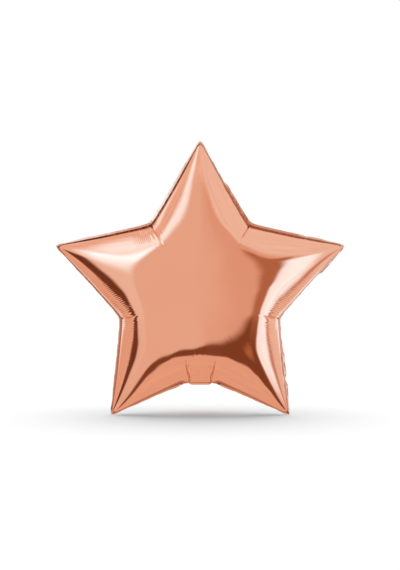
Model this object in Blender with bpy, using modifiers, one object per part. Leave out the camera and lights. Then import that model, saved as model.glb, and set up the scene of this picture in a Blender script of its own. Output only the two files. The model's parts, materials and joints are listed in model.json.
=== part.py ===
"""Star-shaped foil balloon, inflated, with its filling tail folded up behind it.

Two star-cut foils are welded round their edge and blown up. At the lowest notch the foils run on into a
flat tail, and a self-sealing valve of two thin films lies between them, from the tail into the balloon.

Metres, +Z up, the front faces -Y. The origin is on the fold line of the neck, where a ribbon is tied.
"""

import math

import bmesh
import bpy
from mathutils import Matrix, Vector

# The star, measured along the weld from its centre
POINTS = 5
STAR_TIP = 0.207
STAR_NOTCH = 0.1153
DOME_RISE = 0.072       # from the weld's plane to the crown of either foil
ARM_FULLNESS = 1.35     # how round an arm's section is
CROWN_BLEND = 2.3       # how soon the arms level out into the crown

# The films. Real ones are thinner: these walls are thick enough to hold as solids
FOIL = 0.0004
VALVE_FILM = 0.0003
CLEARANCE = 0.0003      # between films that lie on each other
WELD_WIDTH = 0.005      # flat welded margin round the star

# The neck and the tail that hangs from it
NECK_WIDTH = 0.031
NECK_WELD = 0.0025      # welded strip at each side of the neck
VALVE_SIDE_GAP = 0.001  # between the valve and that strip
VALVE_TONGUE = 0.055    # how far the valve reaches up inside the balloon
TAIL_LENGTH = 0.070
TAIL_TAB = 0.025        # flat end of the tail
TAIL_STANDOFF = 0.0015  # between the folded tail and the back foil
TAIL_ROOT = 0.0005      # from the fold line to the tail's first edge
VALVE_INSET = 0.004     # from the tail's open end to the valve's mouth

# How finely the curved films are divided
ARM_STATIONS = 8
DOME_ROWS = 7
TAIL_STATIONS = 9

ARM_ANGLE = 2 * math.pi / POINTS
HALF_ARM = ARM_ANGLE / 2
TIP = Vector((0, STAR_TIP))
NOTCH = STAR_NOTCH * Vector((math.sin(HALF_ARM), math.cos(HALF_ARM)))
NOTCH_WAY = NOTCH.normalized()
EDGE_OUT = Vector(((TIP - NOTCH).y, -(TIP - NOTCH).x)).normalized()

# Share of an arm's edge that the neck takes up, to its corner and to the inside of its welded strip
NECK_CORNER = NECK_WIDTH / 2 / (STAR_TIP * math.sin(HALF_ARM))
NECK_CHANNEL = NECK_CORNER * (1 - 2 * NECK_WELD / NECK_WIDTH)
NECK_SEAM = (NOTCH + NECK_CORNER * (TIP - NOTCH)).dot(NOTCH_WAY)

# The films lie in this order from the middle of the neck outwards
VALVE_MIDDLE = CLEARANCE / 2 + VALVE_FILM / 2
NECK_FOIL_MIDDLE = CLEARANCE / 2 + VALVE_FILM + CLEARANCE + FOIL / 2
WELD_FOIL_MIDDLE = CLEARANCE / 2 + FOIL / 2
TAIL_HALF_THICKNESS = NECK_FOIL_MIDDLE + FOIL / 2
FOLD_CLEARANCE = TAIL_HALF_THICKNESS + CLEARANCE
CENTRE_HEIGHT = FOLD_CLEARANCE + NECK_SEAM + WELD_WIDTH

VALVE_WIDTH = NECK_WIDTH - 2 * NECK_WELD - 2 * VALVE_SIDE_GAP
MERGE = 1e-5
FRONT, BACK = -1, 1


def clear_scene():
    for old in list(bpy.data.objects):
        bpy.data.objects.remove(old, do_unlink=True)


def material(name, colour, roughness, metallic):
    made = bpy.data.materials.new(name)
    made.use_nodes = True
    shader = made.node_tree.nodes["Principled BSDF"]
    shader.inputs["Base Color"].default_value = (*colour, 1.0)
    shader.inputs["Roughness"].default_value = roughness
    shader.inputs["Metallic"].default_value = metallic
    return made


def copper_foil(node):
    return material(node + " copper", (0.79, 0.36, 0.23), 0.12, 1.0)


def clear_film(node):
    return material(node + " clear film", (0.86, 0.87, 0.86), 0.35, 0.0)


def add_object(name, mesh, finish, collection):
    made = bpy.data.objects.new(name, mesh)
    mesh.materials.append(finish)
    collection.objects.link(made)
    return made


def edge_distance(plan, side):
    """How far inside one edge of the upright arm a plan point lies."""
    mirrored = Vector((side * plan.x, plan.y))
    return max(0.0, (NOTCH - mirrored).dot(EDGE_OUT))


def arm_rise(plan):
    """How high a plan point of the upright arm would stand if the arm ran on as a cone."""
    return ARM_FULLNESS * math.sqrt(edge_distance(plan, 1) * edge_distance(plan, -1))


def dome_rise(plan):
    """Height of the foil above the weld's plane: the arm's cone, levelled into a crown."""
    crown_limit = (DOME_RISE ** -CROWN_BLEND - arm_rise(Vector((0, 0))) ** -CROWN_BLEND) ** (-1 / CROWN_BLEND)
    arm = arm_rise(plan)
    return arm * crown_limit / (arm ** CROWN_BLEND + crown_limit ** CROWN_BLEND) ** (1 / CROWN_BLEND)


def arm_station(index):
    """Share of the way from notch to tip. The neck's channel and corner are stations on every arm."""
    if index < 2:
        return (0.0, NECK_CHANNEL)[index]
    return NECK_CORNER + (1 - NECK_CORNER) * (index - 2) / (ARM_STATIONS - 2)


def weld_offset(along, at_neck):
    """The step from the weld line to the foil's cut edge."""
    if at_neck and along <= NECK_CORNER:
        return WELD_WIDTH * NOTCH_WAY
    if along == 0:
        return WELD_WIDTH / EDGE_OUT.dot(NOTCH_WAY) * NOTCH_WAY
    if along == 1:
        return WELD_WIDTH * TIP.normalized()
    return WELD_WIDTH * EDGE_OUT


def star_point(along, inward):
    """(plan point, height) on half of the upright arm of a star with no neck."""
    plan = (1 - along) * (1 - inward) * NOTCH + along * TIP
    return plan, dome_rise(plan) if inward > 0 and along < 1 else 0.0


def half_arm_point(station, row, at_neck):
    """(plan point, height) on half of the upright arm: row 0 is the cut edge, row 1 the weld line."""
    along = arm_station(station)
    inward = 1 - math.cos(math.pi / 2 * max(0, row - 1) / DOME_ROWS)
    plan, height = star_point(along, inward)
    if at_neck and along < NECK_CORNER:
        # Between its corners the neck is level, and the star's own form returns towards the crown
        corner_plan, corner_height = star_point(NECK_CORNER, inward)
        level = 1 - inward
        plan = plan + level * (corner_plan - plan).dot(NOTCH_WAY) * NOTCH_WAY
        height = height + level * (corner_height - height)
    if row == 0:
        plan = plan + weld_offset(along, at_neck)
    in_channel = at_neck and along <= NECK_CHANNEL
    return plan, height + (NECK_FOIL_MIDDLE if in_channel else WELD_FOIL_MIDDLE)


def add_half_arm(foil, arm, mirror, facing):
    """One half of one arm, as a grid bent to its place on the star."""
    turn = Matrix.Rotation(-arm * ARM_ANGLE, 2)
    at_neck = (arm == POINTS // 2 and mirror == 1) or (arm == POINTS - POINTS // 2 and mirror == -1)
    grid = bmesh.ops.create_grid(foil, x_segments=ARM_STATIONS, y_segments=DOME_ROWS + 1, size=0.5)
    for vert in grid["verts"]:
        station = round((vert.co.x + 0.5) * ARM_STATIONS)
        row = round((vert.co.y + 0.5) * (DOME_ROWS + 1))
        plan, height = half_arm_point(station, row, at_neck)
        placed = turn @ Vector((mirror * plan.x, plan.y))
        vert.co = (placed.x, facing * height, placed.y)


def foil_panel(name, facing, collection):
    """One star-cut foil, bulged, with its flat welded margin and its half of the neck."""
    foil = bmesh.new()
    for arm in range(POINTS):
        for mirror in (-1, 1):
            add_half_arm(foil, arm, mirror, facing)
    bmesh.ops.remove_doubles(foil, verts=foil.verts, dist=MERGE)
    bmesh.ops.dissolve_degenerate(foil, edges=foil.edges, dist=MERGE)
    bmesh.ops.recalc_face_normals(foil, faces=foil.faces)
    if sum(face.normal.y for face in foil.faces) * facing < 0:
        bmesh.ops.reverse_faces(foil, faces=foil.faces)
    mesh = bpy.data.meshes.new(name)
    foil.to_mesh(mesh)
    foil.free()
    mesh.shade_smooth()
    panel = add_object(name, mesh, copper_foil(name), collection)
    panel.location = (0, 0, CENTRE_HEIGHT)
    wall = panel.modifiers.new("Foil wall", "SOLIDIFY")
    wall.thickness = FOIL
    wall.offset = 0
    return panel


def valve_tongue(name, facing, collection):
    """One film of the valve, flat inside the balloon from the neck upwards."""
    bpy.ops.mesh.primitive_cube_add(size=1, scale=(VALVE_WIDTH, VALVE_FILM, VALVE_TONGUE))
    tongue = bpy.context.object
    bpy.ops.object.transform_apply(location=False, rotation=False, scale=True)
    tongue.name = tongue.data.name = name
    tongue.location = (0, facing * VALVE_MIDDLE, FOLD_CLEARANCE + VALVE_TONGUE / 2)
    tongue.data.materials.append(clear_film(name))
    for old in list(tongue.users_collection):
        old.objects.unlink(tongue)
    collection.objects.link(tongue)
    return tongue


def tail_bend():
    """Radius of the tail's curl: the tightest one that clears the back foil all along the tail."""
    reach = TAIL_HALF_THICKNESS + TAIL_STANDOFF
    radius = 0.0
    for station in range(3):
        for row in range(2, DOME_ROWS + 2):
            plan, height = half_arm_point(station, row, True)
            back = height + FOIL / 2 - TAIL_ROOT
            above = CENTRE_HEIGHT - plan.dot(NOTCH_WAY)
            if math.hypot(back, above) < TAIL_LENGTH:
                radius = max(radius, (back ** 2 + above ** 2 - reach ** 2) / (2 * (above - reach)))
    return radius


def tail_place(along, outward, radius):
    """A point of the folded tail, seen from the side: a curl behind the balloon that ends in a flat tab."""
    curl = TAIL_LENGTH - TAIL_TAB
    bend = min(along, curl) / radius
    straight = max(0.0, along - curl)
    forward = Vector((math.cos(bend), math.sin(bend)))
    across = Vector((math.sin(bend), -math.cos(bend)))
    centre = Vector((TAIL_ROOT, radius)) + radius * across
    return centre + straight * forward + outward * across


def tail_strip(name, width, length, outward, wall, finish, collection):
    """One film of the tail, standing off the tail's middle by outward."""
    radius = tail_bend()
    curl = TAIL_LENGTH - TAIL_TAB
    strip = bmesh.new()
    grid = bmesh.ops.create_grid(strip, x_segments=1, y_segments=TAIL_STATIONS + 1, size=0.5)
    for vert in grid["verts"]:
        station = round((vert.co.y + 0.5) * (TAIL_STATIONS + 1))
        along = curl * station / TAIL_STATIONS if station <= TAIL_STATIONS else length
        side = tail_place(along, outward, radius)
        vert.co = (vert.co.x * width, side.x, side.y)
    bmesh.ops.recalc_face_normals(strip, faces=strip.faces)
    mesh = bpy.data.meshes.new(name)
    strip.to_mesh(mesh)
    strip.free()
    made = add_object(name, mesh, finish, collection)
    thickness = made.modifiers.new("Film wall", "SOLIDIFY")
    thickness.thickness = wall
    thickness.offset = 0
    return made


def tail_foil(name, outward, collection):
    return tail_strip(name, NECK_WIDTH, TAIL_LENGTH, outward, FOIL, copper_foil(name), collection)


def tail_valve(name, outward, collection):
    length = TAIL_LENGTH - VALVE_INSET
    return tail_strip(name, VALVE_WIDTH, length, outward, VALVE_FILM, clear_film(name), collection)


def build():
    clear_scene()
    balloon = bpy.data.collections.new("Star foil balloon")
    bpy.context.scene.collection.children.link(balloon)

    foil_panel("front_foil", FRONT, balloon)
    foil_panel("back_foil", BACK, balloon)
    valve_tongue("valve_front_film", FRONT, balloon)
    valve_tongue("valve_back_film", BACK, balloon)

    # The fold line is the tail's hinge, so the tail's films hang on an empty there
    tail_fold = bpy.data.objects.new("tail_fold", None)
    balloon.objects.link(tail_fold)
    tail = [
        tail_foil("tail_front_foil", NECK_FOIL_MIDDLE, balloon),
        tail_foil("tail_back_foil", -NECK_FOIL_MIDDLE, balloon),
        tail_valve("tail_valve_front_film", VALVE_MIDDLE, balloon),
        tail_valve("tail_valve_back_film", -VALVE_MIDDLE, balloon),
    ]
    for film in tail:
        film.parent = tail_fold


build()
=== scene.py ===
import json
import math

import bmesh
import bpy
import numpy as np
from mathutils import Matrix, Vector


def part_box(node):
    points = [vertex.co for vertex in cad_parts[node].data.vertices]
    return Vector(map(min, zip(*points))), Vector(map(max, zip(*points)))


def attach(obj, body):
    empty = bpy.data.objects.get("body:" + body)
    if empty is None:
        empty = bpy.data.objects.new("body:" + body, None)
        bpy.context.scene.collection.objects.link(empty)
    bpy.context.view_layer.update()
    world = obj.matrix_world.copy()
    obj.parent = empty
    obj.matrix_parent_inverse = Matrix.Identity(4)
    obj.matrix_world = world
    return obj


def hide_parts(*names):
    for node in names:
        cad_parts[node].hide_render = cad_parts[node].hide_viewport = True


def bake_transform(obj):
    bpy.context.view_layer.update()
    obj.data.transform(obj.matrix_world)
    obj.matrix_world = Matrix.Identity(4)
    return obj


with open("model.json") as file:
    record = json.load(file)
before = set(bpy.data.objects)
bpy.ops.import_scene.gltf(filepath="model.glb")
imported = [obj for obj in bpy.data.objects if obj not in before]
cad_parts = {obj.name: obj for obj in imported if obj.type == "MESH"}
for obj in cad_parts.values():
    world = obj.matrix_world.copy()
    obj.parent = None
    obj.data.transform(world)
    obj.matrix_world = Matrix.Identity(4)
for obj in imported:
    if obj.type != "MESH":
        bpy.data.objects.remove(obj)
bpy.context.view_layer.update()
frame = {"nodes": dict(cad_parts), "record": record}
print("frame loaded:", ", ".join(frame["nodes"]))

# The star's own measures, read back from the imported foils
foilLow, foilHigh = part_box("front_foil")
starArms = 5
armAngle = 2 * math.pi / starArms
weldWidth = 0.005
tipRadius = foilHigh.x / math.sin(armAngle) - weldWidth
starCentre = Vector((0, 0, foilHigh.z - tipRadius - weldWidth))


# Node helpers

def feed(tree, value, socket):
    if isinstance(value, bpy.types.NodeSocket):
        tree.links.new(value, socket)
    else:
        socket.default_value = value


def calc(tree, operation, *values):
    node = tree.nodes.new("ShaderNodeMath")
    node.operation = operation
    for value, socket in zip(values, node.inputs):
        feed(tree, value, socket)
    return node.outputs[0]


def fade(tree, value, start, end, low=0.0, high=1.0):
    node = tree.nodes.new("ShaderNodeMapRange")
    node.interpolation_type = "SMOOTHSTEP"
    for item, socket in zip((value, start, end, low, high), node.inputs):
        feed(tree, item, socket)
    return node.outputs[0]


def mixColour(tree, share, first, second):
    node = tree.nodes.new("ShaderNodeMix")
    node.data_type = "RGBA"
    feed(tree, share, node.inputs["Factor"])
    feed(tree, first, node.inputs[6])
    feed(tree, second, node.inputs[7])
    return node.outputs[2]


def noise(tree, place, scale, detail=2.0, roughness=0.5):
    node = tree.nodes.new("ShaderNodeTexNoise")
    feed(tree, place, node.inputs["Vector"])
    feed(tree, scale, node.inputs["Scale"])
    node.inputs["Detail"].default_value = detail
    node.inputs["Roughness"].default_value = roughness
    return node.outputs[0]


def joinXyz(tree, x, y, z):
    node = tree.nodes.new("ShaderNodeCombineXYZ")
    for value, socket in zip((x, y, z), node.inputs):
        feed(tree, value, socket)
    return node.outputs[0]


def vectorCalc(tree, operation, *values):
    node = tree.nodes.new("ShaderNodeVectorMath")
    node.operation = operation
    sockets = (node.inputs[0], node.inputs["Scale"] if operation == "SCALE" else node.inputs[1])
    for value, socket in zip(values, sockets):
        feed(tree, value, socket)
    return node.outputs[0]


def bumpNormal(tree, height, strength, distance):
    node = tree.nodes.new("ShaderNodeBump")
    node.inputs["Strength"].default_value = strength
    node.inputs["Distance"].default_value = distance
    tree.links.new(height, node.inputs["Height"])
    return node.outputs[0]


def emptyMaterial(name):
    made = bpy.data.materials.new(name)
    made.use_nodes = True
    made.node_tree.nodes.clear()
    return made, made.node_tree


def addObject(name, data):
    made = bpy.data.objects.new(name, data)
    bpy.context.scene.collection.objects.link(made)
    return made


def smooth(value, start, end):
    share = np.clip((value - start) / (end - start), 0, 1)
    return share * share * (3 - 2 * share)


# Camera: a long lens, nearly level

shot = dict(
    framePixels=(400, 570),
    starPixel=(200.2, 292.6),    # where the star's centre falls in the picture
    metresPerPixel=0.001397,
    distance=4.0,
    elevation=math.radians(4),
    sensor=36.0,
)


def addCamera():
    lens = bpy.data.cameras.new("shotCamera")
    lens.sensor_width = shot["sensor"]
    lens.lens = shot["sensor"] * shot["distance"] / (shot["framePixels"][1] * shot["metresPerPixel"])
    camera = addObject("shotCamera", lens)
    across = (shot["framePixels"][0] / 2 - shot["starPixel"][0]) * shot["metresPerPixel"]
    rise = (shot["starPixel"][1] - shot["framePixels"][1] / 2) * shot["metresPerPixel"]
    aim = starCentre + Vector((across, 0, rise / math.cos(shot["elevation"])))
    back = Vector((0, -math.cos(shot["elevation"]), math.sin(shot["elevation"])))
    camera.location = aim + shot["distance"] * back
    camera.rotation_mode = "QUATERNION"
    camera.rotation_quaternion = (-back).to_track_quat("-Z", "Y")
    bpy.context.scene.camera = camera
    print("camera placed, lens", round(lens.lens, 1))


# Studio: a light tent round the star, with two tall soft boxes in front and dim gaps between them.
# Angles are degrees seen from the star's centre: across and up from the way to the front, or out from it
# and turning round it. A window's span is (start, end, softness of start, softness of end); it may lean.

studio = dict(
    reach=0.42,            # metres from the star's centre to the tent
    wall=(0.99, 0.99, 0.99),
    warm=(0.92, 0.8, 0.73),
    warmSpan=(-5, 25),     # angles across, over which the wall turns warm
    ambient=0.22,          # what lights the floor
    streaks=9.0,           # size of the room's faint streaks, and how deep they are
    streakDepth=0.36,
    streakStart=(55, 75),
    streakEnd=(135, 115),
    windows=(
        # In front: a dim floor
        dict(across=(-32, 12, 3, 8), up=(-95, -37.3, 8, 2.2), slope=0.38, colour=(0.26, 0.12, 0.06)),
        dict(across=(4, 52, 8, 4), up=(-95, -37.5, 8, 5.5), slope=0.5, colour=(0.26, 0.12, 0.06)),
        dict(across=(31, 40, 3, 3), up=(-39, -33, 3, 3), colour=(0.5, 0.29, 0.17)),
        # The bright sweep over the upper half, brightest at the upper right
        dict(out=(64, 200, 5, 5), turn=(-10, 200, 20, 5), colour=(1.03, 1.04, 1.03)),
        dict(out=(64, 200, 5, 5), turn=(-30, 90, 10, 25), colour=(1.06, 1.23, 1.35)),
        # A pale table under the star, rounded by three steps, and on behind it
        dict(across=(-23, 36, 2, 2), up=(-200, -58.5, 5, 2.5), colour=(0.97, 0.87, 0.8)),
        dict(across=(-18.5, 32, 2.5, 2.5), up=(-200, -54, 5, 2), colour=(0.97, 0.87, 0.8)),
        dict(across=(-12, 26, 3, 3), up=(-200, -51.5, 5, 2), colour=(0.97, 0.87, 0.8)),
        dict(out=(88, 200, 6, 5), turn=(-181, -30, 0.1, 8), colour=(0.97, 0.87, 0.8)),
        # The dim gap beside the right soft box
        dict(across=(37.5, 52, 4, 2), up=(-25, 38, 9, 2.5), lean=0.06, colour=(0.55, 0.32, 0.21)),
        # The left soft box, brighter upwards, and the glow above it
        dict(across=(-66, -44, 8, 2.5), up=(-28, 49, 24, 8), lean=-0.12, colour=(1.05, 1.2, 1.28),
             to=(1.4, 2.8, 4.1), by=("up", 2, 40)),
        dict(across=(-63, -41, 9, 9), up=(49, 100, 8, 8), lean=-0.12, colour=(1.26, 2.1, 2.85)),
        # Dark screens at both sides
        dict(across=(-81, -65.5, 3, 3), up=(-65, 15, 12, 6), colour=(0.2, 0.09, 0.045)),
        dict(across=(79, 89, 3, 3), up=(-62, 0, 10, 12), colour=(0.72, 0.55, 0.48)),
        # The right soft box
        dict(across=(51, 64, 2.5, 6), up=(-48, 29, 12, 3.5), lean=0.06, colour=(1.26, 2.1, 2.9)),
        dict(across=(56, 69.5, 4, 6), up=(-42, 29, 15, 3.5), lean=0.24, colour=(1.28, 2.35, 3.3)),
        # Behind: a dim floor and two soft boxes, nearer the middle
        dict(backAcross=(-42, 42, 10, 10), backUp=(-50, -30, 4, 3), colour=(0.5, 0.3, 0.2)),
        dict(backAcross=(-47, -32, 4, 3), backUp=(-14, 40, 12, 8), colour=(1.25, 1.9, 2.5)),
        dict(backAcross=(34, 47, 3, 4), backUp=(-24, 24, 10, 6), colour=(1.22, 1.8, 2.3)),
    ),
)


def studioGlow(tree, way):
    x, y, z = way
    out = calc(tree, "DEGREES", calc(tree, "ARCCOSINE", calc(tree, "MULTIPLY", y, -1.0)))
    square = calc(tree, "ADD", calc(tree, "MULTIPLY", x, x), calc(tree, "MULTIPLY", z, z))
    aside = calc(tree, "MAXIMUM", calc(tree, "SQRT", square), 1e-4)
    front = calc(tree, "DIVIDE", out, aside)
    behind = calc(tree, "DIVIDE", calc(tree, "SUBTRACT", 180.0, out), aside)
    angles = dict(
        out=out,
        across=calc(tree, "MULTIPLY", x, front),
        up=calc(tree, "MULTIPLY", z, front),
        turn=calc(tree, "DEGREES", calc(tree, "ARCTAN2", z, x)),
        backAcross=calc(tree, "MULTIPLY", x, behind),
        backUp=calc(tree, "MULTIPLY", z, behind),
    )
    light = mixColour(tree, fade(tree, angles["across"], *studio["warmSpan"]),
                      (*studio["wall"], 1), (*studio["warm"], 1))
    for window in studio["windows"]:
        share = 1.0
        for angle in angles:
            if angle not in window:
                continue
            value = angles[angle]
            if angle == "across" and "lean" in window:
                value = calc(tree, "MULTIPLY_ADD", angles["up"], window["lean"], value)
            if angle == "up" and "slope" in window:
                value = calc(tree, "MULTIPLY_ADD", angles["across"], -window["slope"], value)
            start, end, startEdge, endEdge = window[angle]
            share = calc(tree, "MULTIPLY", share, fade(tree, value, start - startEdge, start + startEdge))
            share = calc(tree, "MULTIPLY", share, fade(tree, value, end + endEdge, end - endEdge))
        colour = (*window["colour"], 1)
        if "to" in window:
            by, start, end = window["by"]
            colour = mixColour(tree, fade(tree, angles[by], start, end), colour, (*window["to"], 1))
        light = mixColour(tree, share, light, colour)
    # Faint streaks of the room at the sides
    streaks = noise(tree, joinXyz(tree, x, y, z), studio["streaks"], 2.0)
    depth = fade(tree, out, *studio["streakStart"], 0.0, studio["streakDepth"])
    depth = calc(tree, "MULTIPLY", depth, fade(tree, out, *studio["streakEnd"]))
    dim = calc(tree, "MULTIPLY_ADD", calc(tree, "SUBTRACT", streaks, 0.5), depth, 1.0)
    return vectorCalc(tree, "SCALE", light, dim)


def addTent():
    # Only mirrors see the tent
    mesh = bpy.data.meshes.new("lightTent")
    shell = bmesh.new()
    bmesh.ops.create_icosphere(shell, subdivisions=5, radius=studio["reach"])
    bmesh.ops.translate(shell, verts=shell.verts, vec=starCentre)
    shell.to_mesh(mesh)
    shell.free()
    tent = addObject("lightTent", mesh)
    cloth, tree = emptyMaterial("tentLight")
    cloth.cycles.emission_sampling = "NONE"
    place = tree.nodes.new("ShaderNodeTexCoord").outputs["Object"]
    place = vectorCalc(tree, "SUBTRACT", place, starCentre)
    way = tree.nodes.new("ShaderNodeSeparateXYZ")
    tree.links.new(vectorCalc(tree, "NORMALIZE", place), way.inputs[0])
    glow = tree.nodes.new("ShaderNodeEmission")
    tree.links.new(studioGlow(tree, way.outputs), glow.inputs["Color"])
    tree.links.new(glow.outputs[0], tree.nodes.new("ShaderNodeOutputMaterial").inputs["Surface"])
    mesh.materials.append(cloth)
    for ray in ("camera", "diffuse", "transmission", "volume_scatter", "shadow"):
        setattr(tent, "visible_" + ray, False)


def addStudio():
    world = bpy.data.worlds.new("studio")
    bpy.context.scene.world = world
    world.use_nodes = True
    tree = world.node_tree
    tree.nodes.clear()
    path = tree.nodes.new("ShaderNodeLightPath")
    plain = calc(tree, "ADD", path.outputs["Is Camera Ray"], path.outputs["Is Glossy Ray"])
    plain = calc(tree, "MINIMUM", calc(tree, "ADD", plain, path.outputs["Is Transmission Ray"]), 1.0)
    glow = tree.nodes.new("ShaderNodeBackground")
    tree.links.new(fade(tree, plain, 0.0, 1.0, studio["ambient"], 1.0), glow.inputs["Strength"])
    tree.links.new(glow.outputs[0], tree.nodes.new("ShaderNodeOutputWorld").inputs[0])
    glow.inputs["Color"].default_value = (1, 1, 1, 1)
    addTent()
    print("studio lit")


floorPlan = dict(size=8.0, colour=(0.9, 0.9, 0.9), lift=0.13)     # lift: its own glow, up to white
overhead = dict(level=2.5, softness=math.radians(75), lean=(math.radians(-12), 0, 0))


def addFloor():
    half = floorPlan["size"] / 2
    level = foilLow.z
    mesh = bpy.data.meshes.new("floor")
    corners = [(-half, -half, level), (half, -half, level), (half, half, level), (-half, half, level)]
    mesh.from_pydata(corners, [], [(0, 1, 2, 3)])
    floor = addObject("floor", mesh)
    paper, tree = emptyMaterial("paleFloor")
    matte = tree.nodes.new("ShaderNodeBsdfDiffuse")
    matte.inputs["Color"].default_value = (*floorPlan["colour"], 1)
    glow = tree.nodes.new("ShaderNodeEmission")
    seen = tree.nodes.new("ShaderNodeLightPath").outputs["Is Camera Ray"]
    tree.links.new(calc(tree, "MULTIPLY", seen, floorPlan["lift"]), glow.inputs["Strength"])
    both = tree.nodes.new("ShaderNodeAddShader")
    tree.links.new(matte.outputs[0], both.inputs[0])
    tree.links.new(glow.outputs[0], both.inputs[1])
    tree.links.new(both.outputs[0], tree.nodes.new("ShaderNodeOutputMaterial").inputs["Surface"])
    mesh.materials.append(paper)
    floor.visible_glossy = False    # the mirror foil sees the tent's own floor instead

    lamp = bpy.data.lights.new("overhead", "SUN")
    lamp.energy = overhead["level"]
    lamp.angle = overhead["softness"]
    holder = addObject("overhead", lamp)
    holder.rotation_euler = overhead["lean"]
    holder.visible_glossy = False


# Finishes

foilFinish = dict(
    copper=(0.81, 0.365, 0.235),
    warm=(0.785, 0.34, 0.212),
    weld=(0.70, 0.31, 0.2),
    # the dark of the painted shade in the corner where the dome meets the weld
    line=(0.11, 0.018, 0.006),
    rim=(0.95, 0.75, 0.65),
    cloud=14.0,            # size of the soft colour drift, per metre
    gloss=(0.045, 0.085),
    weldGloss=0.16,
    weldStart=(0.02, 0.2),  # share of the margin over which the weld's own finish begins
    seamShadeStart=(-0.3, 0.0),  # painted shade along the weld's inner edge, from mm inside the weld
    seamShadeEnd=(0.45, 0.25),  # to this share of the margin
    seamShadeBreaks=240.0,          # breaks in that painted shade, per metre
    skin=900.0,            # fine surface grain, per metre
    grain=0.00002,
    bump=0.3,
    crimp=0.0011,          # pitch of the weld's fine cross lines
    crimpDepth=0.6,        # beside the grain
)


def attribute(tree, name):
    node = tree.nodes.new("ShaderNodeAttribute")
    node.attribute_name = name
    return node.outputs["Fac"]


def copperFoil():
    made = bpy.data.materials.new("copperFoil")
    made.use_nodes = True
    tree = made.node_tree
    shader = tree.nodes["Principled BSDF"]
    place = tree.nodes.new("ShaderNodeTexCoord").outputs["Object"]
    weldPlace = attribute(tree, "weldPlace")
    onWeld = fade(tree, weldPlace, *foilFinish["weldStart"])
    drift = noise(tree, place, foilFinish["cloud"], 3)
    tint = mixColour(tree, drift, (*foilFinish["copper"], 1), (*foilFinish["warm"], 1))
    tint = mixColour(tree, onWeld, tint, (*foilFinish["weld"], 1))

    # Painted shade: the dark of the concave corner between dome and weld, laid along the weld's inner edge
    # and broken here and there
    seamShadeBreaks = fade(tree, noise(tree, place, foilFinish["seamShadeBreaks"], 3), 0.3, 0.55, 0.75, 1.0)
    inSeamShade = fade(tree, weldPlace, *foilFinish["seamShadeStart"])
    inSeamShade = calc(tree, "MULTIPLY", inSeamShade, fade(tree, weldPlace, *foilFinish["seamShadeEnd"]))
    inSeamShade = calc(tree, "MULTIPLY", calc(tree, "MULTIPLY", inSeamShade, seamShadeBreaks), attribute(tree, "line"))
    tint = mixColour(tree, inSeamShade, tint, (*foilFinish["line"], 1))
    tree.links.new(tint, shader.inputs["Base Color"])
    # The edge tint also turns dark under that painted shade
    rim = mixColour(tree, inSeamShade, (*foilFinish["rim"], 1), (*foilFinish["line"], 1))
    tree.links.new(rim, shader.inputs["Specular Tint"])

    rough = fade(tree, noise(tree, place, foilFinish["cloud"] * 6, 4), 0.3, 0.7, *foilFinish["gloss"])
    rough = calc(tree, "MAXIMUM", rough, calc(tree, "MULTIPLY", onWeld, foilFinish["weldGloss"]))
    tree.links.new(rough, shader.inputs["Roughness"])
    shader.inputs["Metallic"].default_value = 1.0

    grain = noise(tree, place, foilFinish["skin"], 2)
    turns = calc(tree, "MULTIPLY", attribute(tree, "arc"), 2 * math.pi / foilFinish["crimp"])
    lines = calc(tree, "MULTIPLY", calc(tree, "SINE", turns), onWeld)
    height = calc(tree, "MULTIPLY_ADD", lines, foilFinish["crimpDepth"], grain)
    normal = bumpNormal(tree, height, foilFinish["bump"], foilFinish["grain"])
    tree.links.new(normal, shader.inputs["Normal"])
    return made


filmFinish = dict(
    tint=(0.93, 0.95, 0.95),
    cover=0.3,             # how much of what lies behind it the film hides
    ior=1.5,
    gloss=(0.1, 0.22),
    cloud=60.0,
    skin=700.0,
    grain=0.00003,
    bump=0.4,
)


def clearFilm():
    made = bpy.data.materials.new("clearFilm")
    made.use_nodes = True
    tree = made.node_tree
    shader = tree.nodes["Principled BSDF"]
    place = tree.nodes.new("ShaderNodeTexCoord").outputs["Object"]
    shader.inputs["Base Color"].default_value = (*filmFinish["tint"], 1)
    rough = fade(tree, noise(tree, place, filmFinish["cloud"], 3), 0.3, 0.7, *filmFinish["gloss"])
    tree.links.new(rough, shader.inputs["Roughness"])
    shader.inputs["Alpha"].default_value = filmFinish["cover"]
    shader.inputs["IOR"].default_value = filmFinish["ior"]
    skin = noise(tree, place, filmFinish["skin"], 2)
    tree.links.new(bumpNormal(tree, skin, filmFinish["bump"], filmFinish["grain"]), shader.inputs["Normal"])
    return made


# The blown-up film. One half of one arm is solved as a sheet that can't stretch and doesn't resist folding;
# the other nine are its mirrors. The flat cut has its tip at (0, 1) and its notch at cutNotch.

blow = dict(
    cutNotch=0.68,
    cells=(48, 32),        # along the weld, and from the weld to the arm's spine
    bow=0.1,               # how far the sheet bows out at the start
    steps=1200,
    push=8e-5,
    keepSpeed=0.97,
    sweeps=6,
    tipHeight=0.9325,      # where the blown-up tip ends
    crease=(0.15, 0.36),   # share of the notch line over which its crease dies out
    easeSweeps=30,
    easeNotch=(0.3, 0.5),  # share of the notch line at which its ridge starts to be spread
    easeRows=(5, 14),      # cells beside the notch line
    easeColumns=(10, 3),   # cells beside the spine
    easeSpine=(0.3, 0.8),  # share of the spine at which that ends
)

notchWay = np.array([math.sin(armAngle / 2), math.cos(armAngle / 2)])
notchAside = np.array([math.cos(armAngle / 2), -math.sin(armAngle / 2), 0.0])
cutTip = np.array([0.0, 1.0])
cutNotch = blow["cutNotch"] * notchWay
edgeWay = (cutTip - cutNotch) / np.linalg.norm(cutTip - cutNotch)
filmScale = tipRadius / blow["tipHeight"]
edgeLength = np.linalg.norm(cutTip - cutNotch) * filmScale


def pullTight(film, pairs):
    for first, second, length in pairs:
        gap = film[second] - film[first]
        size = np.linalg.norm(gap, axis=-1) + 1e-12
        move = np.where(size > length, (size - length) / size / 2, 0.0)[..., None] * gap
        film[first] += move
        film[second] -= move


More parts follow.
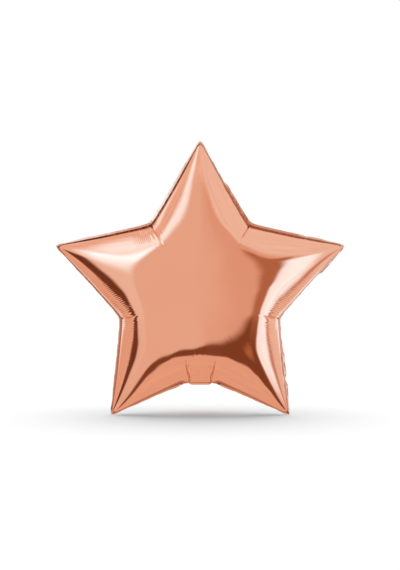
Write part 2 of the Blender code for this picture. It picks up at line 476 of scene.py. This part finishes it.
def sheetPairs(flat, rows, columns):
    pairs = []
    every = slice(None)
    for odd in (0, 1):
        pairs.append(((slice(odd, rows, 2), every), (slice(odd + 1, rows + 1, 2), every)))
        pairs.append(((every, slice(odd, columns, 2)), (every, slice(odd + 1, columns + 1, 2))))
        for side in (0, 1):
            low, high = slice(odd, rows, 2), slice(odd + 1, rows + 1, 2)
            near, far = slice(side, columns, 2), slice(side + 1, columns + 1, 2)
            pairs.append(((low, near), (high, far)))
            pairs.append(((high, near), (low, far)))
    return [(a, b, np.linalg.norm(flat[a] - flat[b], axis=-1)) for a, b in pairs]


def holdEdges(film):
    film[:, 0, 2] = 0                                        # weld stays in its plane
    film[:, -1, 0] = 0                                       # spine stays on the arm's middle
    film[0] -= (film[0] @ notchAside)[:, None] * notchAside  # notch line stays between the arms
    film[0, -1, :2] = 0
    np.maximum(film[..., 2], 0, out=film[..., 2])


def blowHalfArm():
    rows, columns = blow["cells"]
    along = (np.arange(rows + 1) / (rows + 1))[:, None, None]
    inward = np.linspace(0, 1, columns + 1)[None, :, None]
    weld = cutNotch + along * (cutTip - cutNotch)
    flat = weld + inward * (along * cutTip - weld)
    film = np.zeros((rows + 1, columns + 1, 3))
    film[..., :2] = flat
    film[..., 2] = blow["bow"] * np.sqrt(inward * (1 - along))[..., 0]
    pairs = sheetPairs(flat, rows, columns)
    speed = np.zeros_like(film)
    for step in range(blow["steps"]):
        outward = np.cross(np.gradient(film, axis=1), np.gradient(film, axis=0))
        outward *= np.sign(outward[rows // 3, columns // 2, 2])
        outward /= np.linalg.norm(outward, axis=-1, keepdims=True) + 1e-12
        before = film.copy()
        film = film + blow["keepSpeed"] * speed + blow["push"] * outward
        holdEdges(film)
        for sweep in range(blow["sweeps"]):
            pullTight(film, pairs)
            holdEdges(film)
        speed = film - before
    tip = np.zeros((1, columns + 1, 3))
    tip[..., 1] = blow["tipHeight"]
    return np.concatenate([film, tip])


def easeRidges(film):
    # Spreads the ridges that the coarse sheet leaves on the notch line past its crease, and on the spine
    rows, columns = film.shape[:2]
    atNotch = smooth(np.linspace(0, 1, columns), *blow["easeNotch"])[None, :, None]
    atNotch = atNotch * (1 - smooth(np.arange(rows), *blow["easeRows"]))[:, None, None]
    atSpine = smooth(columns - np.arange(columns), *blow["easeColumns"])[None, :, None]
    atSpine = atSpine * (1 - smooth(np.arange(rows) / rows, *blow["easeSpine"]))[:, None, None]
    for sweep in range(blow["easeSweeps"]):
        mirrored = film[1] - 2 * (film[1] @ notchAside)[:, None] * notchAside
        before = np.concatenate([mirrored[None], film[:-1]])
        after = np.concatenate([film[1:], film[-1:]])
        film = film + atNotch * ((before + after) / 2 - film) / 2
        mirrored = film[:, -2] * np.array([-1, 1, 1])
        before = np.concatenate([film[:, :1], film[:, :-1]], axis=1)
        after = np.concatenate([film[:, 1:], mirrored[:, None]], axis=1)
        film = film + atSpine * ((before + after) / 2 - film) / 2
    return film


def padFilm(film):
    # One more row each way, so that the cubic between the cells runs smoothly over spine and notch line
    inward = np.linspace(0, 1, film.shape[1])
    start, end = blow["crease"]
    share = np.clip((inward - start) / (end - start), 0, 1)[:, None]
    mirrored = film[1] - 2 * (film[1] @ notchAside)[:, None] * notchAside
    beyondNotch = share * mirrored + (1 - share) * (2 * film[0] - film[1])
    film = np.concatenate([beyondNotch[None], film, (2 * film[-1] - film[-2])[None]])
    beyondSpine = film[:, -2] * np.array([-1, 1, 1])
    return np.concatenate([(2 * film[:, 0] - film[:, 1])[:, None], film, beyondSpine[:, None]], axis=1)


def cubicShares(part):
    return (
        ((2 - part) * part - 1) * part / 2,
        (part * part * (3 * part - 5) + 2) / 2,
        ((4 - 3 * part) * part + 1) * part / 2,
        (part - 1) * part * part / 2,
    )


def filmPoint(along, inward):
    rows, columns = paddedFilm.shape[0] - 3, paddedFilm.shape[1] - 3
    row = np.clip(along, 0, 1) * rows
    column = np.clip(inward, 0, 1) * columns
    rowCell = np.minimum(row.astype(int), rows - 1)
    columnCell = np.minimum(column.astype(int), columns - 1)
    rowShares = cubicShares(row - rowCell)
    columnShares = cubicShares(column - columnCell)
    point = np.zeros((*along.shape, 3))
    for i in range(4):
        for j in range(4):
            point += (rowShares[i] * columnShares[j])[..., None] * paddedFilm[rowCell + i, columnCell + j]
    return point * filmScale


# The weld margin and the puckers, edge by edge, clockwise from the top arm's left edge.
# fold: (share of the edge from notch to tip, degrees that the margin is folded back)
# pucker: depth in mm, and the share of the edge at which it has died out
# ripple: how wavy the margin is; and last, how dark the painted shade along the weld's inner edge is

neckEdge = dict(fold=((0, 8), (0.16, 12), (0.4, 50), (0.9, 62), (1, 25)),
                pucker=(0.12, 0.5), ripple=0.5, line=0.45)
edges = (
    # Top arm
    dict(fold=((0, 22), (0.5, 30), (0.9, 45), (1, 25)),
         pucker=(0.09, 0.14), ripple=0.4, line=0.95),
    dict(fold=((0, 18), (0.46, 25), (0.54, 75), (0.9, 72), (1, 30)),
         pucker=(0.08, 0.4), ripple=1.0, line=0.5),
    # Right arm
    dict(fold=((0, 18), (0.55, 22), (0.62, 62), (0.66, 32), (1, 30)),
         pucker=(0.2, 0.8), ripple=0.8, line=0.75),
    dict(fold=((0, 80), (0.62, 85), (0.68, 45), (1, 35)),
         pucker=(0.19, 0.95), ripple=0.8, line=0.3),
    # Lower right arm, with the neck beside it
    dict(fold=((0, 75), (0.28, 70), (0.4, 35), (0.6, 40), (0.66, 80), (0.72, 45), (1, 25)),
         pucker=(0.21, 1.0), ripple=1.0, line=0.3),
    neckEdge,
    # Lower left arm
    neckEdge,
    dict(fold=((0, 60), (0.5, 55), (0.9, 60), (1, 25)),
         pucker=(0.23, 0.8), ripple=0.6, line=0.35),
    # Left arm
    dict(fold=((0, 70), (0.9, 70), (1, 35)),
         pucker=(0.29, 0.9), ripple=0.5, line=0.35),
    dict(fold=((0, 22), (0.9, 40), (1, 30)),
         pucker=(0.26, 0.3), ripple=0.4, line=1.0),
)

panel = dict(
    wall=0.00022,          # film thickness shown
    gap=0.00006,           # between the two welded films
    lean=0.1,              # how far the puckers lean along the edge on their way inward
    leanStart=0.06,        # share of the edge at the notch over which that lean begins
    gather=1.9,            # how soon the columns close up towards the spine
    grade=0.35,            # columns are closer near the notch
    puckerFade=0.55,       # share of a run of puckers at which they start to die out
    reaches=(              # columns for each edge, and rings inward from the weld, mm along the flat film
        (240, (0, 0.5, 1.3, 2.5, 4.2, 6.5, 9.3, 12.5, 16, 19.8, 23.8, 28, 32.4,
               37, 41.8, 46.8, 52, 57.4, 63)),
        (120, (69, 75)),
        (60, (82, 89, 96)),
        (30, (103, 110, 117)),
        (15, (124, 130, 136, 141.5)),
    ),
    lining=((60, (0, 6, 14, 24, 36, 50)), (30, (66, 84)), (15, (104, 124, 138))),
    liningShrink=0.98,
    marginShares=(0.12, 0.3, 0.55, 0.8, 0.97, 1.0),
    marginColumns=120,
    mitre=0.05,            # share of the edge over which the margin turns into the notch
    tipTurn=0.94,          # share of the edge from which it turns round the tip
    tipNarrow=0.45,        # how much narrower it is just before the tip
    narrowStart=(0.7, 0.93),
    narrowEnd=(0.95, 1),
    foldBy=0.4,            # share of the margin over which it bends back
    foldSteps=24,
    endFold=(0.05, 0.06),  # share of the edge over which neighbours meet at notch and tip
    ripples=((0.021, 5.0), (0.0093, 2.5), (0.0041, 1.0)),   # wave length, degrees
    rippleSeed=40,
)

neck = dict(
    width=0.031,
    weld=0.0025,           # welded strip at each side
    closing=1.3,           # widths of that strip over which the films close on each other
    stand=0.00095,         # how far each film stands off the middle, for the valve
    standEnd=0.05,         # share of the way inward at which that ends
    foldGap=0.0016,        # from the fold line to the hem
    hem=0.0005,
    levelEnd=(0.1, 0.36),  # share of the way inward over which the neck goes from flat to domed
    dropEnd=0.26,          # share of the way inward at which the film is no longer drawn down
    longer=0.2,            # how much further inward the puckers reach
    pucker=0.2,            # their depth in mm
    groove=1.3,            # depth of the creases at the sides, and where they end
    grooveEnd=(0.38, 0.46),
    # Shares of the edge, from the neck's corner, over which each blends into the arm
    dropSide=(-0.01, 0.11),
    longerSide=(0.02, 0.12),
    # the painted shade along the weld
    seamShadeSide=0.1,
    hemSide=0.15,
    mitre=0.03,
)
shoulder = dict(push=0.0045, reach=0.5, rise=(0, 0.45), fall=(0.4, 1))    # swells out beside a notch
centreReach = (np.abs(cutNotch[0] * cutTip[1] - cutNotch[1] * cutTip[0])
               / np.linalg.norm(cutTip - cutNotch) * filmScale)


def neckShift(aside):
    # How far the neck's films stand apart, for the valve between them
    side = neck["width"] / 2
    closed = smooth(np.abs(aside), side - neck["closing"] * neck["weld"], side - neck["weld"])
    return neck["stand"] * (1 - closed)


def neckCorner():
    # Share of the edge where the neck's side meets the weld
    along = np.linspace(0, 0.5, 501)
    aside = -filmPoint(along, np.zeros_like(along)) @ notchAside
    return float(np.interp(neck["width"] / 2, aside, along))


def edgeColumns(columns):
    share = np.arange(columns + 1) / columns
    return share * (1 - panel["grade"]) + panel["grade"] * share ** 2


def halfArmRing(reach, columns, atNeck):
    # Points of one ring over the right half of the upright arm, from the notch to the spine
    share = reach / centreReach
    place = edgeColumns(columns)
    straight = max(1 - panel["gather"] * share, 0)      # columns up to here run as the puckers do
    lean = panel["lean"] * share * smooth(place, 0, panel["leanStart"])
    lastLean = panel["lean"] * share * smooth(straight, 0, panel["leanStart"])
    packed = np.interp(place, (straight, 1), (straight + lastLean, 1 - share))
    along = np.where(place < straight, place + lean, packed)
    inward = np.clip(share / np.maximum(1 - along, 1e-9), 0, 1)
    point = filmPoint(along, inward)
    swell = smooth(inward, *shoulder["rise"]) * (1 - smooth(inward, *shoulder["fall"]))
    swell = swell * (1 - smooth(along, 0, shoulder["reach"]))
    point[:, :2] += (shoulder["push"] * swell)[:, None] * notchWay
    arc = place * edgeLength
    crease = arc
    groove = 1.0
    if atNeck:
        cornerInward = np.full(1, share / (1 - corner)).clip(0, 1)
        cornerPoint = filmPoint(np.full(1, corner), cornerInward)
        inNeck = place < corner
        level = np.where(inNeck, 1 - smooth(inward, *neck["levelEnd"]), 0.0)[:, None]
        way = np.array([*notchWay, 0])
        lift = cornerPoint - point
        point = point + level * ((lift @ way)[:, None] * way + lift[:, 2:] * np.array([0, 0, 1]))
        drop = starCentre.z - neck["foldGap"] - neck["hem"] - neckSeam
        fall = (1 - smooth(inward, 0, neck["dropEnd"])) * (1 - smooth(place - corner, *neck["dropSide"]))
        point[:, :2] += (drop * fall)[:, None] * notchWay
        point[:, 2] += neckShift(point @ notchAside) * (1 - smooth(inward, 0, neck["standEnd"]))
        crease = np.abs(place - corner) * edgeLength
        inward = inward * (1 - neck["longer"] * (1 - smooth(place - corner, *neck["longerSide"])))
        groove = neck["groove"] * (1 - smooth(share, *neck["grooveEnd"]))
    return point, dict(arc=arc, inward=inward, crease=crease, along=along, place=place,
                       groove=np.full(len(along), groove))


def ringRound(makeHalf):
    # Runs makeHalf over the ten half arms, clockwise from the front, and turns each to its place
    points, tags = [], []
    for arm in range(starArms):
        turn = -arm * armAngle
        cosTurn, sinTurn = math.cos(turn), math.sin(turn)
        for mirror in (-1, 1):
            edge = 2 * arm + (mirror > 0)
            atNeck = edge in (starArms, starArms + 1)
            point, tag = makeHalf(edge, atNeck)
            if mirror > 0:
                point = point[::-1]
                tag = {name: values[::-1] for name, values in tag.items()}
            x, up = mirror * point[:-1, 0], point[:-1, 1]
            turned = (cosTurn * x - sinTurn * up, point[:-1, 2], sinTurn * x + cosTurn * up)
            points.append(np.stack(turned, -1))
            tag = {name: values[:-1].copy() for name, values in tag.items()}
            tag["edge"] = np.full(len(x), float(edge))
            # how dark the painted shade along this edge's weld is
            tag["line"] = np.full(len(x), edges[edge]["line"])
            depth, run = edges[edge]["pucker"]
            tag["depth"] = depth / 1000 * (1 - smooth(tag["along"], panel["puckerFade"] * run, run))
            if atNeck:
                inNeck = tag["place"] < corner
                tag["arc"] = np.where(inNeck, -mirror * tag["arc"], tag["arc"])
                tag["edge"] = np.where(inNeck, 2.0 * starArms, tag["edge"])
                tag["depth"] = np.where(inNeck, neck["pucker"] / 1000, tag["depth"])
                # beside the neck, the painted shade along the weld fades in
                tag["line"] = tag["line"] * smooth(tag["place"] - corner, 0, neck["seamShadeSide"])
            tags.append(tag)
    joined = {name: np.concatenate([tag[name] for tag in tags]) for name in tags[0]}
    return np.concatenate(points), joined


def domeRing(reach, columns, facing, offset, shrink=1.0):
    point, tag = ringRound(lambda edge, atNeck: halfArmRing(reach / 1000, columns, atNeck))
    point = point * shrink
    point[:, 1] = facing * (point[:, 1] + offset)
    return point + np.array(starCentre), tag


def foldAngle(edge, along):
    shares, degrees = zip(*edges[edge]["fold"])
    angle = np.interp(along, shares, degrees)
    rng = np.random.default_rng(panel["rippleSeed"] + edge)
    for length, size in panel["ripples"]:
        turns = along * edgeLength / length + rng.random()
        angle = angle + size * edges[edge]["ripple"] * np.sin(2 * math.pi * turns)
    # Neighbouring edges share one fold at their notch and at their tip
    notchMate = (edge - 1 if edge % 2 == 0 else edge + 1) % len(edges)
    tipMate = edge + 1 if edge % 2 == 0 else edge - 1
    atNotch = (edges[edge]["fold"][0][1] + edges[notchMate]["fold"][0][1]) / 2
    atTip = (edges[edge]["fold"][-1][1] + edges[tipMate]["fold"][-1][1]) / 2
    angle = atNotch + (angle - atNotch) * smooth(along, 0, panel["endFold"][0])
    return np.radians(atTip + (angle - atTip) * smooth(along, 1, 1 - panel["endFold"][1]))


def marginOut(along, atNeck):
    # Outward step in the weld's plane, mitred at the notch and straight out at the tip
    edgeOut = np.array([edgeWay[1], -edgeWay[0]])
    if atNeck:
        atNotch, reach = notchWay, smooth(along - corner, 0, neck["mitre"])
    else:
        atNotch, reach = notchWay / (edgeOut @ notchWay), smooth(along, 0, panel["mitre"])
    out = atNotch + (edgeOut - atNotch) * reach[:, None]
    tipShare = smooth(along, panel["tipTurn"], 1)[:, None]
    return out + (np.array([0, 1.0]) - out) * tipShare


def marginHalf(edge, atNeck, share, layer):
    columns = panel["marginColumns"]
    seam, tag = halfArmRing(0.0, columns, atNeck)
    along = tag["along"]
    out = marginOut(along, atNeck)
    narrow = smooth(along, *panel["narrowStart"]) * (1 - smooth(along, *panel["narrowEnd"]))
    width = weldWidth * (1 - panel["tipNarrow"] * narrow)
    fold = foldAngle(edge, along)
    if atNeck:
        inNeck = 1 - smooth(along - corner, 0, neck["hemSide"])
        width = width + (neck["hem"] - width) * inNeck
        fold = fold * (1 - inNeck)
        layer = layer + np.sign(layer) * neckShift(seam @ notchAside)
    steps = panel["foldSteps"]
    outward, back, bend = np.zeros_like(along), np.zeros_like(along), np.zeros_like(along)
    for step in range(steps):
        bend = fold * smooth((step + 0.5) / steps * share, 0, panel["foldBy"])
        outward = outward + np.cos(bend) * share / steps
        back = back + np.sin(bend) * share / steps
    point = seam.copy()
    point[:, :2] += out * (width * outward - layer * np.sin(bend))[:, None]
    point[:, 2] = width * back + layer * np.cos(bend)
    return point, tag


def marginRing(share, layer):
    # layer: how far in front (below 0) or behind the weld's middle this face of the film lies
    point, tag = ringRound(lambda edge, atNeck: marginHalf(edge, atNeck, share, layer))
    return point + np.array(starCentre), tag


def zipRings(first, firstCount, second, secondCount):
    # Faces between two closed rings, where one may have a whole number of times as many points
    flip = firstCount < secondCount
    many, few = (second, first) if flip else (first, second)
    manyCount, fewCount = max(firstCount, secondCount), min(firstCount, secondCount)
    ratio = manyCount // fewCount
    faces = []
    for i in range(fewCount):
        near, far = few + i, few + (i + 1) % fewCount
        fan = [many + (i * ratio + k) % manyCount for k in range(ratio + 1)]
        group = [(fan[k], fan[k + 1], near) for k in range(ratio - 1)]
        group.append((fan[-2], fan[-1], far, near))
        faces += [face[::-1] for face in group] if flip else group
    return faces


def panelMesh(name, facing):
    outer = panel["gap"] / 2 + panel["wall"]
    inner = panel["gap"] / 2
    deep = -99.0                                # far from the weld
    rings = []                                  # points, tags, share of the puckers, place by the weld
    for columns, reaches in reversed(panel["reaches"]):
        for reach in reversed(reaches):
            rings.append((*domeRing(reach, columns, facing, outer), 1.0, -reach))
    for share in panel["marginShares"]:
        rings.append((*marginRing(share, facing * outer), 0.0, share))
    for share in reversed(panel["marginShares"][1::2]):
        rings.append((*marginRing(share, facing * inner), 0.0, share))
    for columns, reaches in panel["lining"]:
        for reach in reaches:
            rings.append((*domeRing(reach, columns, facing, inner, panel["liningShrink"]), 0.0, deep))

    crown = filmPoint(np.zeros(1), np.ones(1))[0, 2]
    points = [np.array([[starCentre.x, facing * (crown + outer), starCentre.z]])]
    points += [ring[0] for ring in rings]
    points.append(np.array([[starCentre.x, facing * crown * panel["liningShrink"], starCentre.z]]))
    starts = np.cumsum([0] + [len(p) for p in points])
    faces = []
    first, count = int(starts[1]), len(points[1])
    faces += [(0, first + (i + 1) % count, first + i) for i in range(count)]
    for i in range(1, len(points) - 2):
        faces += zipRings(int(starts[i]), len(points[i]), int(starts[i + 1]), len(points[i + 1]))
    last, count = int(starts[-3]), len(points[-2])
    faces += [(last + i, last + (i + 1) % count, int(starts[-2])) for i in range(count)]
    if facing > 0:
        faces = [face[::-1] for face in faces]

    mesh = bpy.data.meshes.new(name)
    mesh.from_pydata(np.concatenate(points).tolist(), [], faces)

    def tagPoints(tag, atCrown, values):
        values = np.concatenate([[atCrown], *values, [0.0]]).astype(np.float32)
        mesh.attributes.new(tag, "FLOAT", "POINT").data.foreach_set("value", values)

    for tag in ("arc", "inward", "crease", "groove", "edge", "depth", "line"):
        tagPoints(tag, 0.0, [ring[1][tag] for ring in rings])
    tagPoints("skin", 1.0, [np.full(len(ring[0]), ring[2]) for ring in rings])
    tagPoints("weldPlace", deep, [np.full(len(ring[0]), ring[3]) for ring in rings])
    mesh.shade_smooth()
    return mesh


# Puckers, creases and soft dents, laid on a panel's skin with Geometry Nodes

puckers = {
    "Pitch": 0.0029,
    "Wander": 0.25,
    "Uneven": 0.55,            # how much one pucker's depth differs from the next
    "Growth": 0.09,            # share of the way inward over which the puckers grow
    "Reach": 0.46,             # share of the way inward at which they have died out
    "Reach Spread": 0.06,
    "Crease Depth": 0.0014,
    "Crease Width": 0.0008,
    "Crease Reach": 0.52,
    "Clear Start": 0.0006,     # beside a crease there are no puckers
    "Clear End": 0.0024,
    "Dent Depth": 0.0003,
    "Dent Size": 0.055,
    "Seed": 4.0,
}


def puckerTree():
    tree = bpy.data.node_groups.new("puckers", "GeometryNodeTree")
    tree.interface.new_socket("Geometry", in_out="INPUT", socket_type="NodeSocketGeometry")
    for name in puckers:
        tree.interface.new_socket(name, in_out="INPUT", socket_type="NodeSocketFloat")
    tree.interface.new_socket("Finish", in_out="INPUT", socket_type="NodeSocketMaterial")
    tree.interface.new_socket("Geometry", in_out="OUTPUT", socket_type="NodeSocketGeometry")
    given = tree.nodes.new("NodeGroupInput").outputs

    def tagged(name):
        node = tree.nodes.new("GeometryNodeInputNamedAttribute")
        node.data_type = "FLOAT"
        node.inputs["Name"].default_value = name
        return node.outputs["Attribute"]

    def times(*values):
        product = values[0]
        for value in values[1:]:
            product = calc(tree, "MULTIPLY", product, value)
        return product

    inward, crease = tagged("inward"), tagged("crease")
    edge = calc(tree, "MULTIPLY_ADD", tagged("edge"), 7.3, given["Seed"])

    def vary(along, rate, layer):
        # Noise along an edge, another on each edge and layer; the rate is for one pucker
        return noise(tree, joinXyz(tree, times(along, rate), edge, layer), 1.0, 1.0)

    turns = calc(tree, "DIVIDE", tagged("arc"), given["Pitch"])
    phase = calc(tree, "MULTIPLY_ADD", vary(turns, 0.31, 0.0), times(given["Wander"], 4.0), turns)
    strength = calc(tree, "SUBTRACT", vary(phase, 0.9, 3.7), 0.5)
    further = calc(tree, "SUBTRACT", vary(phase, 0.8, 9.1), 0.5)

    # Straight-sided ridges, as gathered foil makes them
    wave = calc(tree, "MULTIPLY_ADD", calc(tree, "PINGPONG", phase, 0.5), 4.0, -1.0)
    uneven = calc(tree, "MULTIPLY_ADD", strength, times(given["Uneven"], 3.2), 1.0)
    end = calc(tree, "MULTIPLY_ADD", further, times(given["Reach Spread"], 3.0), given["Reach"])
    dying = fade(tree, inward, end, times(end, 0.76))
    growing = fade(tree, inward, 0.0, given["Growth"])
    clear = fade(tree, crease, given["Clear Start"], given["Clear End"])
    ribs = times(wave, calc(tree, "MAXIMUM", uneven, 0.15), dying, growing, clear, tagged("depth"))

    near = calc(tree, "DIVIDE", crease, given["Crease Width"])
    groove = calc(tree, "EXPONENT", times(near, near, -1.0))
    grooveEnd = fade(tree, inward, given["Crease Reach"], times(given["Crease Reach"], 0.6))
    grooveStart = fade(tree, inward, 0.0, 0.03)
    groove = times(groove, grooveEnd, grooveStart, given["Crease Depth"], tagged("groove"), -1.0)

    place = tree.nodes.new("GeometryNodeInputPosition").outputs[0]
    dent = noise(tree, place, calc(tree, "DIVIDE", 1.0, given["Dent Size"]), 1.0)
    dent = times(calc(tree, "SUBTRACT", dent, 0.5), given["Dent Depth"], 2.0, fade(tree, inward, 0.0, 0.2))

    height = calc(tree, "ADD", calc(tree, "ADD", ribs, groove), dent)
    height = times(height, tagged("skin"))
    normal = tree.nodes.new("GeometryNodeInputNormal").outputs[0]
    moved = tree.nodes.new("GeometryNodeSetPosition")
    tree.links.new(given["Geometry"], moved.inputs["Geometry"])
    tree.links.new(vectorCalc(tree, "SCALE", normal, height), moved.inputs["Offset"])
    whole = tree.nodes.new("GeometryNodeRealizeInstances")
    tree.links.new(moved.outputs[0], whole.inputs[0])
    dressed = tree.nodes.new("GeometryNodeSetMaterial")
    tree.links.new(whole.outputs[0], dressed.inputs["Geometry"])
    tree.links.new(given["Finish"], dressed.inputs["Material"])
    tree.links.new(dressed.outputs[0], tree.nodes.new("NodeGroupOutput").inputs[0])
    return tree


def puckered(name, mesh, tree, finish):
    plain = addObject(name + "Smooth", mesh)
    modifier = plain.modifiers.new("puckers", "NODES")
    modifier.node_group = tree
    for item in tree.interface.items_tree:
        if item.in_out == "INPUT" and item.name in puckers:
            modifier[item.identifier] = puckers[item.name]
        if item.in_out == "INPUT" and item.name == "Finish":
            modifier[item.identifier] = finish
    evaluated = plain.evaluated_get(bpy.context.evaluated_depsgraph_get())
    final = bpy.data.meshes.new_from_object(evaluated)
    final.name = name
    bpy.data.objects.remove(plain)
    return addObject(name, final)


# The tail and its valve: flat films that follow one path, folded back under the neck and curled up behind

tail = dict(
    length=0.070,
    tab=0.025,
    root=0.0005,
    wall=0.00022,
    weldGap=0.00016,       # half the gap between the foils along the welded sides
    puff=0.00035,          # how far the foils bulge, within puffHalf of the middle
    puffHalf=0.013,
    puffStart=(0.004, 0.02),
    part=0.0011,           # how far the open end parts, and from where
    partFrom=0.052,
    backShare=0.55,        # how much of this the back foil does
    ribDepth=0.00007,      # pleats at the fold
    ribPitch=0.0031,
    ribShift=1.1,
    ribEnd=(0.006, 0.02),
    foilGrid=(90, 63),     # points along and across
    valveGrid=(80, 33),
    tongueRows=60,
    flutter=0.0005,        # a slow wave that all the films share
    flutterStart=(0.010, 0.045),
    waves=((1.0, 150, 60, 0.4), (0.6, 40, 230, 0.0), (0.5, 310, -140, 0.0)),   # size, along, across, start
    valveHalf=0.012,
    valveStand=0.0003,
    valveClosed=0.00012,   # at the valve's welded sides
    valveWeld=(0.0098, 0.0108),
    valveWall=0.00018,
    valveInset=0.004,
    tongue=0.055,
)
# The foils' way round the fold as (y, z): down the neck, a quarter turn, then on to the tail's path
foldLines = {
    1: dict(neckLine=((-0.0007, 0.0032), (-0.0007, 0.0022), (-0.0009, 0.0014)),
            centre=(0.0006, 0.0006), radius=0.00155, join=0.0004),
    -1: dict(neckLine=((0.0007, 0.0032), (0.0007, 0.0026), (0.0008, 0.0021)),
             centre=(0.0017, 0.0017), radius=0.00075, join=0.0016),
}
tabAxis = next(mount for mount in frame["record"]["mounts"] if mount["name"] == "tail_tab")["axis"]
tailCurl = tail["length"] - tail["tab"]
tailRadius = tailCurl / math.atan2(tabAxis[1], -tabAxis[2])


def tailMiddle(along):
    bend = np.minimum(along, tailCurl) / tailRadius
    straight = np.maximum(along - tailCurl, 0)
    y = tail["root"] + tailRadius * np.sin(bend) + straight * np.cos(bend)
    z = tailRadius * (1 - np.cos(bend)) + straight * np.sin(bend)
    return np.stack([y, z], -1), np.stack([np.sin(bend), -np.cos(bend)], -1)


def tailFoilPath(side):
    # side 1: the front film, round the outside of the fold; -1: the back film, inside it
    fold = foldLines[side]
    turn = np.linspace(math.pi, 1.5 * math.pi, 9)
    bow = np.array(fold["centre"]) + fold["radius"] * np.stack([np.cos(turn), np.sin(turn)], -1)
    along = np.linspace(fold["join"], tail["length"], tail["foilGrid"][0])
    middle, across = tailMiddle(along)
    path = np.concatenate([fold["neckLine"], bow, middle + side * neck["stand"] * across])
    onTail = np.concatenate([np.zeros(len(fold["neckLine"]) + len(bow)), along])
    return path, onTail


def flutter(along, x):
    grow = smooth(along, *tail["flutterStart"])
    wave = sum(size * np.sin(along * byAlong + x * byAcross + start)
               for size, byAlong, byAcross, start in tail["waves"])
    return tail["flutter"] * grow * wave / 2


def stripMesh(name, middle, wall):
    # A closed film of even thickness on a grid of points
    along, across = np.gradient(middle, axis=0), np.gradient(middle, axis=1)
    normal = np.cross(across, along)
    normal /= np.linalg.norm(normal, axis=-1, keepdims=True)
    rows, columns = middle.shape[:2]
    front = middle + normal * wall / 2
    back = middle - normal * wall / 2
    points = np.concatenate([front.reshape(-1, 3), back.reshape(-1, 3)])
    under = rows * columns
    faces = []
    for i in range(rows - 1):
        for j in range(columns - 1):
            a, b = i * columns + j, (i + 1) * columns + j
            faces.append((a, a + 1, b + 1, b))
            faces.append((under + a, under + b, under + b + 1, under + a + 1))
    rim = list(range(columns))
    rim += [i * columns + columns - 1 for i in range(1, rows)]
    rim += [(rows - 1) * columns + j for j in range(columns - 2, -1, -1)]
    rim += [i * columns for i in range(rows - 2, 0, -1)]
    for k, first in enumerate(rim):
        second = rim[(k + 1) % len(rim)]
        faces.append((second, first, under + first, under + second))
    mesh = bpy.data.meshes.new(name)
    mesh.from_pydata(points.tolist(), [], faces)
    mesh.shade_smooth()
    return mesh


def tailFoil(name, side):
    path, onTail = tailFoilPath(side)
    x = np.linspace(-neck["width"] / 2, neck["width"] / 2, tail["foilGrid"][1])
    tangent = np.gradient(path, axis=0)
    tangent /= np.linalg.norm(tangent, axis=1, keepdims=True)
    outward = np.stack([tangent[:, 1], -tangent[:, 0]], -1)          # towards the front film's side
    grid = np.zeros((len(path), len(x), 3))
    grid[..., 0] = x
    along = onTail[:, None]
    closeIn = (neck["stand"] - tail["weldGap"]) * (1 - neckShift(x) / neck["stand"])
    crown = np.clip(1 - (x / tail["puffHalf"]) ** 2, 0, 1)
    puff = tail["puff"] * crown * smooth(along, *tail["puffStart"])
    puff = puff + tail["part"] * (crown * smooth(along, tail["partFrom"], tail["length"]))
    ribs = tail["ribDepth"] * np.sin(x * 2 * math.pi / tail["ribPitch"] + tail["ribShift"] * side)
    ribs = ribs * (1 - smooth(along, *tail["ribEnd"])) * crown
    share = tail["backShare"] if side < 0 else 1.0
    lift = side * (puff + ribs - closeIn) * share + (1 - share) * closeIn
    lift = lift + flutter(along, x)
    grid[..., 1:] = path[:, None] + lift[..., None] * outward[:, None]
    return stripMesh(name, grid, tail["wall"])


def valveGrid(path, outward, side, along):
    x = np.linspace(-tail["valveHalf"], tail["valveHalf"], tail["valveGrid"][1])
    grid = np.zeros((len(path), len(x), 3))
    grid[..., 0] = x
    apart = (1 - smooth(np.abs(x), *tail["valveWeld"])) * (tail["valveStand"] - tail["valveClosed"])
    lift = side * (apart + tail["valveClosed"]) + flutter(along[:, None], x)
    grid[..., 1:] = path[:, None] + lift[..., None] * outward[:, None]
    return grid


def tailValve(name, side):
    along = np.linspace(0.0, tail["length"] - tail["valveInset"], tail["valveGrid"][0])
    middle, across = tailMiddle(along)
    return stripMesh(name, valveGrid(middle, across, side, along), tail["valveWall"])


def innerValve(name, side):
    up = np.linspace(0.0, tail["tongue"], tail["tongueRows"])
    path = np.stack([np.zeros_like(up), foldTop + up], -1)
    outward = np.tile([-1.0, 0.0], (len(up), 1))
    return stripMesh(name, valveGrid(path, outward, side, np.zeros_like(up)), tail["valveWall"])


def addFilm(mesh, node, finish, body):
    mesh.materials.append(finish)
    piece = addObject(mesh.name, mesh)
    if body:
        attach(piece, body)
    else:
        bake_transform(piece)
    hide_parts(node)


# The shot, then the panels, then the tail and its valve

bpy.context.scene.view_settings.view_transform = "Standard"
addCamera()
addStudio()
addFloor()

paddedFilm = padFilm(easeRidges(blowHalfArm()))
print("film blown up, crown", np.round(filmPoint(np.zeros(1), np.ones(1))[0] * 1000, 1))
corner = neckCorner()
neckSeam = float(filmPoint(np.full(1, corner), np.zeros(1))[0, :2] @ notchWay)

copper = copperFoil()
tree = puckerTree()
for name, node, facing in (("frontPanel", "front_foil", -1), ("backPanel", "back_foil", 1)):
    piece = puckered(name, panelMesh(name + "Smooth", facing), tree, copper)
    piece.visible_diffuse = False      # keeps the shadow on the floor neutral
    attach(piece, "balloon")
    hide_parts(node)
    print(name, "faces", len(piece.data.polygons))

film = clearFilm()
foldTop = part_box("valve_front_film")[0].z
for name, node, side in (("Front", "front", 1), ("Back", "back", -1)):
    addFilm(tailFoil("tail" + name + "Foil", side), "tail_" + node + "_foil", copper, None)
    addFilm(tailValve("tailValve" + name, side), "tail_valve_" + node + "_film", film, "tail")
    addFilm(innerValve("valve" + name, side), "valve_" + node + "_film", film, "balloon")
print("tail and valve made")
